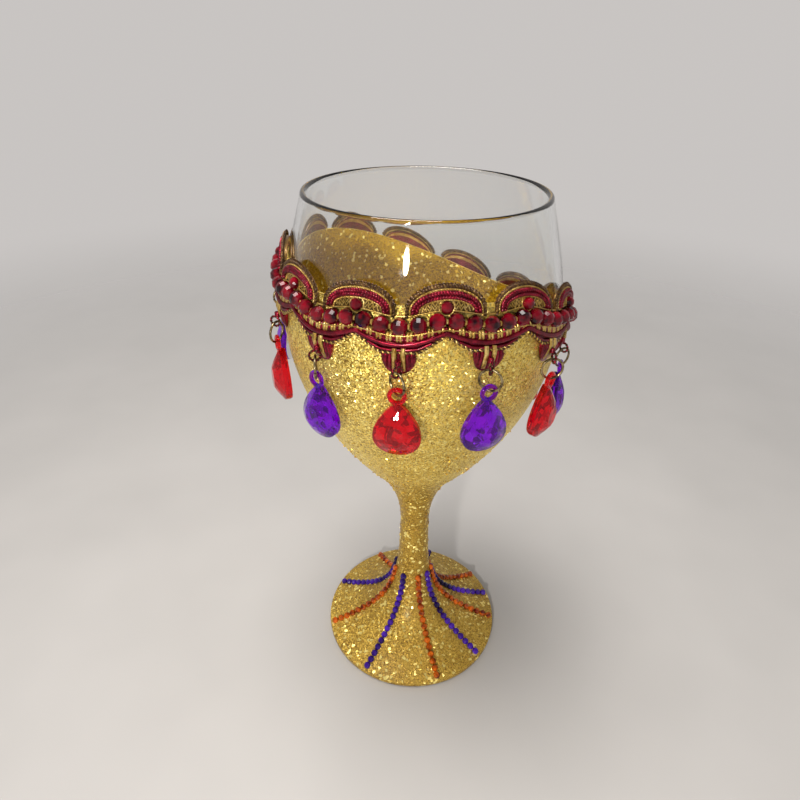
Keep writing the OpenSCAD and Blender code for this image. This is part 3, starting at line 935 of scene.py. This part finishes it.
rings, circles = bmesh.new(), []
for x in ARCHES:
    circle = arc((x, -EYE_DROP), EYE_RING_R, 0, 360, 24)
    circles.append([(*point, EYE_RING_OUT) for point in circle + circle[:1]])
add_cords(rings, circles, 0.5, rib=0.5)
wrap(rings)
piece("eye_rings", rings, [gold_thread], sharp=60)

# %% [markdown]
# ## Swags
# A gold thread runs along the beads on each side. Below them hangs a row of swags: upright stitches, two of
# gold and one of red thread in turn, held by a thick red cord and a thin one above it. Under the thick cord
# a dark hem runs from notch to tip, with one more red cord laid in the space between. A line along the braid
# is given by how far above its rule it runs and how far out it lies.

# %% Swags
STITCHES_EACH, STITCH_OUT, CORD_SEAM, POINTS_A_MM = 27, 2.1, 0.05, 1.8
UPPER_THREAD, LOWER_THREAD = (2.3, 1.9), (-2.2, 2.3)
THICK_CORD, THIN_CORD, LAID_CORD, HEM = (0.72, 2.25), (1.75, 2.0), (0.1, 1.9), (0.25, 1.9)
LAID_REACH, HEM_REACH = 8.0, PITCH / 2 - 0.5


def stitch(x, top, bottom, out):
    """A short padded thread straight down the braid, sunk in at both ends."""
    quarter = (bottom - top) / 4
    places = (-top, out - 0.35), (-top - quarter, out), (-bottom + quarter, out), (-bottom, out - 0.3)
    return [(x, y, z) for y, z in places]


gold_stitches, red_stitches = [], []
for i in range(STITCHES_EACH * MOTIFS):
    x = PITCH / STITCHES_EACH * (i + 0.5)
    top, bottom = bead_drop(x) + BEAD_D / 2 - 0.35, swag_drop(x) - 1.2
    if bottom > top + 0.3:
        (red_stitches if i % 3 == 1 else gold_stitches).append(stitch(x, top, bottom, STITCH_OUT))
stitches = bmesh.new()
add_cords(stitches, gold_stitches, 0.88)
add_cords(stitches, red_stitches, 0.8, 1)
wrap(stitches)
piece("swag_stitches", stitches, [gold_thread, red_thread], sharp=60)


def along(drop_of, above, out, start=0.0, stop=LENGTH):
    """A line along the braid, a little above one of its rules."""
    places = spread_to(start, stop, round((stop - start) * POINTS_A_MM))
    return [(x, above - drop_of(x), out) for x in places]


bead_threads = bmesh.new()
beside_beads = [along(bead_drop, *UPPER_THREAD), along(bead_drop, *LOWER_THREAD)]
add_cords(bead_threads, beside_beads, 0.5, rib=0.5, capped=False)
wrap(bead_threads, CORD_SEAM)
piece("bead_threads", bead_threads, [gold_thread], sharp=80)


def laid_drop(x):
    return (swag_drop(x) + hem_drop(x)) / 2


swag_cords = bmesh.new()
add_cords(swag_cords, [along(swag_drop, *THICK_CORD)], 1.5, rib=0.6, fine=2, capped=False)
add_cords(swag_cords, [along(swag_drop, *THIN_CORD)], 0.8, rib=0.5, capped=False)
laid_in = [along(laid_drop, *LAID_CORD, tip - LAID_REACH, tip + LAID_REACH) for tip in TIPS]
add_cords(swag_cords, laid_in, 1.0, rib=0.55)
wrap(swag_cords, CORD_SEAM)
piece("swag_cords", swag_cords, [red_thread], ["swag_cord"], sharp=80)

hems = bmesh.new()
hem_lines = [along(hem_drop, *HEM, tip - HEM_REACH, tip + HEM_REACH) for tip in TIPS]
add_twisted(hems, hem_lines, 0.9, 1.4, (0, 1))
wrap(hems)
piece("swag_hems", hems, [bronze_thread, gold_thread], sharp=60)

# %% [markdown]
# ## Tips
# Each swag ends in a small cup of the same work: a padded red tongue with upright stitches and a red cord
# round its edge.

# %% Cups
CUP_W, CUP_TOP, CUP_FOOT, CUP_THIN, CUP_BLUNT = 8.3, 15.9, 21.9, 0.92, 0.82
TAB_IN, CUP_T, BAR_PITCH, CUP_CORD_OUT = 0.7, 1.0, 1.08, 1.95


def cup_edge(share):
    """A point of a cup's edge, from its left top corner at 0 to its right one at 1."""
    b = pi * (1 - share)
    across = copysign(abs(cos(b)) ** CUP_BLUNT, cos(b))
    return CUP_W / 2 * across, -CUP_TOP - (CUP_FOOT - CUP_TOP) * max(0.0, sin(b)) ** CUP_BLUNT


def cup_foot(offset):
    """How far down a cup reaches at a distance from its middle."""
    side = min(1.0, abs(2 * offset / CUP_W)) ** (2 / CUP_BLUNT)
    return CUP_TOP + (CUP_FOOT - CUP_TOP) * (1 - side) ** (CUP_BLUNT / 2)


def cup_out(y, out):
    """Thins a cup towards its foot, where the ring hangs in front of it."""
    low = max(0.0, (-y - CUP_TOP) / (CUP_FOOT - CUP_TOP))
    return TAB_IN + (out - TAB_IN) * (1 - CUP_THIN * low**1.4)


cups = bmesh.new()
for tip in TIPS:
    corners = [cup_edge(share) for share in spread_to(0, 1, 24)]
    face = cups.faces.new([cups.verts.new((tip + x, y, TAB_IN)) for x, y in corners])
    grown = bmesh.ops.extrude_face_region(cups, geom=[face])["geom"]
    bmesh.ops.translate(cups, verts=only(bmesh.types.BMVert, grown), vec=(0, 0, CUP_T))
    front = only(bmesh.types.BMFace, grown)
    for width, rise in ((0.5, 0.3), (0.7, 0.15)):
        bmesh.ops.inset_region(cups, faces=front, thickness=width, depth=rise, use_even_offset=True)
face_out(cups)
round_cups, bars, red_bars = [], [], []
for tip in TIPS:
    rounding = map(cup_edge, spread(0.02, 0.98, 30))
    round_cups.append([(tip + x * 0.95, y + 0.2, CUP_CORD_OUT) for x, y in rounding])
    for n in range(-3, 4):
        x, low = tip + BAR_PITCH * n, cup_foot(BAR_PITCH * n) - 0.6
        if abs(n) == 1:
            bars.append(stitch(x, CUP_TOP - 1.1, low, 2.5))
        else:
            red_bars.append(stitch(x, CUP_TOP + 0.4, low, 2.35))
add_cords(cups, round_cups, 0.95, rib=0.6)
add_cords(cups, bars, 1.2, 1)
add_cords(cups, red_bars, 0.9)
for v in cups.verts:
    v.co.z = cup_out(v.co.y, v.co.z)
wrap(cups)
print("cups:", len(TIPS))

# %% [markdown]
# At the foot of each cup a knot holds the eyelet for the ring: a loop of two threads wound round each other.
# Its place follows from the part's own tab, knot and ring, because the ring hangs from it.

# %% Knots and eyelets
TAB_H, TAB_TOP, TWIST_R, TWISTS = 4.4, 14.7, 0.19, 6
KNOT_D, EYELET_HOLE_D, EYELET_T = 2.6, 2.1, 0.8
RING_D, WIRE_D, RING_TURN, RING_CLEAR, PLAY, SLIT = 6.0, 0.7, 45.0, 0.5, 0.4, 0.25
EYELET_R = (EYELET_HOLE_D + EYELET_T) / 2
EYELET_DROP = TAB_TOP + TAB_H + (KNOT_D - EYELET_T) / 2 + EYELET_T / 4
EYELET_OUT = COAT_TOP + RING_CLEAR + RING_D / 2 * cos(radians(RING_TURN)) + WIRE_D / 2
RING_SEAT = (EYELET_HOLE_D - WIRE_D) / 2 - PLAY


def at_eyelet(k):
    """The frame at the middle of an eyelet: x points out of the bowl."""
    a = TIP_AT + 360 / MOTIFS * k
    z = level(a) - EYELET_DROP
    return rotation(a, "Z") @ Matrix.Translation((glass_r(z) + EYELET_OUT, 0, z))


def placed(path, seat):
    return [seat @ Vector(p) for p in path]


def coil(radius, rise, turns, steps):
    """A few turns of thread round an upright axis."""
    count = turns * steps
    return [(*polar(radius, 360 * i / steps), rise * (i / count - 0.5)) for i in range(count + 1)]


def eyelet_strand(strand):
    """One of the two threads that are wound round each other to make an eyelet."""
    made = []
    for b in spread_to(0, tau, 96):
        w = b * TWISTS + pi * strand
        r = EYELET_R + TWIST_R * cos(w)
        made.append((r * cos(b), r * sin(b), TWIST_R * sin(w)))
    return made


knots, eyelets = [], ([], [])
for k in range(MOTIFS):
    knot = at_eyelet(k) @ Matrix.Translation((-EYELET_T, 0, EYELET_R + 0.5))
    knots.append(placed(coil(0.6, 1.3, 3, 14), knot))
    bmesh.ops.create_uvsphere(cups, u_segments=12, v_segments=8, radius=0.7, matrix=knot)
    facing = at_eyelet(k) @ rotation(RING_TURN, "Z") @ rotation(90, "Y")
    for strand in (0, 1):
        eyelets[strand].append(placed(eyelet_strand(strand), facing))
add_cords(cups, knots, 0.55)
add_cords(cups, eyelets[0], 0.42)
add_cords(cups, eyelets[1], 0.42, 2)
piece("tip_cups", cups, [red_thread, gold_thread, bronze_thread], ["tip_tabs"], sharp=60)

# %% [markdown]
# ## Jump rings
# A jump ring is a turn of wire with a slit where it was opened. A small circle is spun almost all the way
# round, and its two ends are closed. The brass has gone dull and dark in places.

# %% Jump rings
old_brass, tap = new_finish("old_brass")
tarnish = speckle(tap, 1.5)
surface(tap, {
    "Base Color": ramp(tap, tarnish, (0.35, (0.07, 0.05, 0.025)), (0.65, (0.44, 0.35, 0.19))),
    "Metallic": 1.0,
    "Roughness": 0.42 - tarnish * 0.25,
    "Normal": bump(tap, speckle(tap, 0.25), 0.15, 0.05),
})


def jump_ring(k):
    made = bmesh.new()
    upright = Matrix.Translation((RING_D / 2, 0, 0)) @ rotation(90, "X")
    section = bmesh.ops.create_circle(made, segments=12, radius=WIRE_D / 2, matrix=upright)["verts"]
    bmesh.ops.spin(
        made,
        geom=section + made.edges[:],
        cent=(0, 0, 0),
        axis=(0, 0, 1),
        angle=tau - SLIT / (RING_D / 2),
        steps=56,
    )
    bmesh.ops.holes_fill(made, edges=made.edges[:], sides=0)
    face_out(made)
    seat = at_eyelet(k) @ Matrix.Translation((0, 0, -RING_SEAT - RING_D / 2))
    seat = seat @ rotation(RING_TURN, "Z") @ rotation(90, "X")
    bmesh.ops.transform(made, matrix=seat, verts=made.verts)
    return made


for k in range(MOTIFS):
    name = f"jump_ring_{k + 1}"
    piece(f"wire_{name}", jump_ring(k), [old_brass], [name], f"ring_{k + 1}", 40)

# %% [markdown]
# ## Drops
# The drops are cut acrylic with a silvered flat back, like dressmaker's gems. Light goes in through the
# cut front, is mirrored by the back and comes out coloured, so the front is truly clear and the back is a
# mirror on the same closed shape. Seen from within, the mirror has facets of its own, each painted darker
# or paler as a painted reflection of dark and bright parts of the room, and from outside it is plain.


# %% Drop finishes
def acrylic(name, deep, bright, gloss, transmission):
    finish, tap = new_finish(name)
    surface(tap, {
        "Base Color": ramp(tap, speckle(tap, 5.0), (0.35, deep), (0.65, bright)),
        "Roughness": speckle(tap, 3.0) * 0.05,
        "IOR": 1.49,
        "Specular Tint": (*gloss, 1.0),
        "Transmission Weight": transmission,
    })
    return finish


red_acrylic = acrylic("red_acrylic", (0.86, 0.002, 0.008), (1.0, 0.008, 0.02), (1.0, 0.55, 0.6), 0.84)
purple_acrylic = acrylic("purple_acrylic", (0.22, 0.002, 0.78), (0.34, 0.004, 1.0), (0.8, 0.55, 1.0), 0.92)
silvering, tap = new_finish("silvered_back")
wear = speckle(tap, 4.0)
from_within = tap.node("ShaderNodeNewGeometry", output="Backfacing")
facets = flake_cells(tap, 1.7)
# Seen from within, each facet's tone is a painted reflection: dark cells stand for dark parts of the room,
# pale ones for bright parts.
painted_reflection_tone = channel(tap, facets, "Green")
outside = ramp(tap, wear, (0.3, (0.80, 0.80, 0.81)), (0.7, (0.92, 0.92, 0.92)))
inside = ramp(tap, painted_reflection_tone, (0.1, (0.16, 0.16, 0.16)), (0.36, (0.9, 0.9, 0.9)), (0.7, (1.0, 1.0, 1.0)))
surface(tap, {
    "Base Color": blend(tap, from_within, outside, inside),
    "Metallic": 1.0,
    "Roughness": 0.02 + wear * 0.06,
    "Normal": tilted(tap, facets, from_within * 1.2),
})
print("drop finishes: 3")

# %% [markdown]
# A drop is a stack of rings. Its outline is smooth, the rows of cuts have fewer sides and grow rounder
# towards the flat table, and the edges are a little rounded, as moulding leaves them. The loop is moulded on
# top, fat enough to hold and wide enough for the ring to turn in.

# %% Drops
DROP_W, DROP_H, GIRDLE_T, FRONT_T, DROP_BACK = 13.0, 16.5, 2.0, 2.5, 2.0
LOOP_HOLE_D, LOOP_T = 2.8, 1.1
EYE_OF_LOOP_R, LOOP_FAT, ROUNDED, SUNK = 1.33, 0.62, 0.12, 1.8
LOOP_Z = PLAY - (LOOP_HOLE_D - WIRE_D) / 2


def drop_ring(bm, share, sides, out, turn=0.0, fullness=0.0):
    """A closed loop of the drop's outline, as edges, at a distance out of its back."""
    widest = 4 / (3 * sqrt(3))
    verts = []
    for i in range(sides):
        b = tau * (i + turn) / sides
        pear = sin(b) * sin(b / 2) / widest
        y = share * DROP_W / 2 * (pear + fullness * (sin(b) - pear))
        z = share * DROP_H / 2 * cos(b) - SUNK * (1 - share)
        verts.append(bm.verts.new((out, y, z)))
    return [bm.edges.new(pair) for pair in zip(verts, verts[1:] + verts[:1])]


def cut_drop():
    """The drop itself, with its silvered back."""
    made = bmesh.new()
    rows = [
        drop_ring(made, 0.97, 40, 0.0),
        drop_ring(made, 1.0, 40, 0.5),
        drop_ring(made, 1.0, 40, GIRDLE_T),
        drop_ring(made, 0.84, 20, GIRDLE_T + 0.28 * FRONT_T, 0.0, 0.15),
        drop_ring(made, 0.60, 10, GIRDLE_T + 0.72 * FRONT_T, 0.5, 0.5),
        drop_ring(made, 0.38, 10, GIRDLE_T + FRONT_T, 0.0, 1.0),
    ]
    for first, second in zip(rows, rows[1:]):
        bmesh.ops.bridge_loops(made, edges=first + second)
    bmesh.ops.contextual_create(made, geom=rows[-1])
    for face in bmesh.ops.contextual_create(made, geom=rows[0])["faces"]:
        face.material_index = 1
    face_out(made)
    cuts = [e for e in made.edges if all(v.co.x > GIRDLE_T - 0.01 for v in e.verts)]
    bmesh.ops.bevel(
        made,
        geom=cuts,
        offset=ROUNDED,
        affect="EDGES",
        segments=2,
        profile=0.5,
        material=-1,
        clamp_overlap=True,
    )
    point_z = LOOP_Z - LOOP_HOLE_D / 2 - LOOP_T / 4
    bmesh.ops.translate(made, verts=made.verts, vec=(-DROP_BACK, 0, point_z - DROP_H / 2))
    face_out(made)
    return made


def moulded_loop():
    """The round loop on top of a drop, with its hole facing along the bowl's radius."""
    section = arc((EYE_OF_LOOP_R + LOOP_FAT, 0), LOOP_FAT, 0, 360, 12)
    made = lathe(section, closed=True, steps=32)
    upright = Matrix.Translation((0, 0, LOOP_Z)) @ rotation(90, "Y")
    bmesh.ops.transform(made, matrix=upright, verts=made.verts)
    for face in made.faces:
        face.smooth = True
    return made


for k in range(MOTIFS):
    colour, finish = ("purple", purple_acrylic) if k % 2 else ("red", red_acrylic)
    node = f"{colour}_drop_{k // 2 + 1}"
    made, loop = cut_drop(), moulded_loop()
    pour(loop, made)
    loop.free()
    seat = at_eyelet(k) @ Matrix.Translation((0, 0, -RING_SEAT - RING_D))
    bmesh.ops.transform(made, matrix=seat, verts=made.verts)
    piece(f"cut_{node}", made, [finish, silvering], [node], f"drop_{k + 1}")

# %% [markdown]
# ## Stones on the foot
# Rows of small cut stones run from the stem down the foot, purple and orange in turn. A stone is
# eight-sided, with an upright edge, sloping cuts and a flat top. A row sets one after another a pitch apart
# along the slope of the foot, lifted so that the flat backs clear the hollow of the flare, and each a little
# askew, so that they flash one at a time.

# %% Stones
STONE_D, STONE_H, STONE_TOP_D, STONE_PITCH, STONE_START, ROW_TOP_Z = 2.4, 1.3, 1.4, 2.7, 0.6, 27.0
STONE_SHOWN, STONE_EDGE_H, STONE_CUT, STONE_CUT_H, STEM_TOP_Z = 1.12, 0.4, 0.78, 0.55, 31.5
ROW_ROOM, ASKEW = 1.1, (7, 5, 15)
ROWS = {"purple": (158, 240, 323, 17, 77), "orange": (195, 289, 356, 37, 118)}
purple_stone = cut_stone("purple_stone", (0.010, 0.002, 0.05), (0.10, 0.022, 0.56), 0.2, 11.0)
orange_stone = cut_stone("orange_stone", (0.14, 0.010, 0.002), (0.96, 0.20, 0.010), 0.3, 2.2)


def stone_heights(room):
    """Heights of a row's stones. room is the angle to the next row, and a tight row ends lower."""
    z, made = FOOT_EDGE + STONE_START, []
    while z <= ROW_TOP_Z or (z <= STEM_TOP_Z and (glass_r(z) + 1) * radians(room) > ROW_ROOM * STONE_D):
        made.append(z)
        half = z + STONE_PITCH / 2 / hypot(1, run(z))
        z += STONE_PITCH / hypot(1, run(half))
    return made


def stone_lift(z):
    """How far the coat rises above a stone's middle at the stone's upper or lower edge."""
    slope = run(z)
    size = hypot(1, slope)
    r0, h0 = skin(z, COAT_TOP)
    edges = [skin(z + side * STONE_D / 2 / size, COAT_TOP) for side in (-1, 1)]
    return max(((r - r0) - slope * (h - h0)) / size for r, h in edges)


def add_stone(bm, seat):
    """A cut stone: an upright edge, with its top face grown and drawn in twice."""
    radius, base = STONE_SHOWN * STONE_D / 2, Matrix.Translation((0, 0, STONE_EDGE_H / 2))
    stone = bmesh.ops.create_cone(
        bm, cap_ends=True, segments=8, radius1=radius, radius2=radius, depth=STONE_EDGE_H, matrix=base
    )["verts"]
    top = next(f for f in stone[-1].link_faces if all(v.co.z > STONE_EDGE_H / 2 for v in f.verts))
    table = STONE_TOP_D / STONE_D / STONE_CUT, STONE_H - STONE_EDGE_H - STONE_CUT_H
    for share, height in ((STONE_CUT, STONE_CUT_H), table):
        grown = bmesh.ops.extrude_face_region(bm, geom=[top])["geom"]
        bmesh.ops.delete(bm, geom=[top], context="FACES")
        verts, top = only(bmesh.types.BMVert, grown), only(bmesh.types.BMFace, grown)[0]
        bmesh.ops.scale(bm, vec=(share, share, 1), verts=verts)
        bmesh.ops.translate(bm, vec=(0, 0, height), verts=verts)
        stone += verts
    bmesh.ops.transform(bm, matrix=seat, verts=stone)


def stone_row(a, rng):
    made = bmesh.new()
    others = [b for row in ROWS.values() for b in row if b != a]
    room = min(abs((b - a + 180) % 360 - 180) for b in others)
    for z in stone_heights(room):
        tip, roll, spin = (rng.uniform(-most, most) for most in ASKEW)
        askew = rotation(tip, "X") @ rotation(roll, "Y") @ rotation(22.5 + spin, "Z")
        add_stone(made, stuck_on(z, BAND_IN + stone_lift(z), a) @ askew)
    face_out(made)
    return made


rng = random.Random(3)
for colour, finish in (("purple", purple_stone), ("orange", orange_stone)):
    for i, a in enumerate(ROWS[colour]):
        node = f"{colour}_stone_row_{i + 1}"
        piece(f"cut_{node}", stone_row(a, rng), [finish], [node])
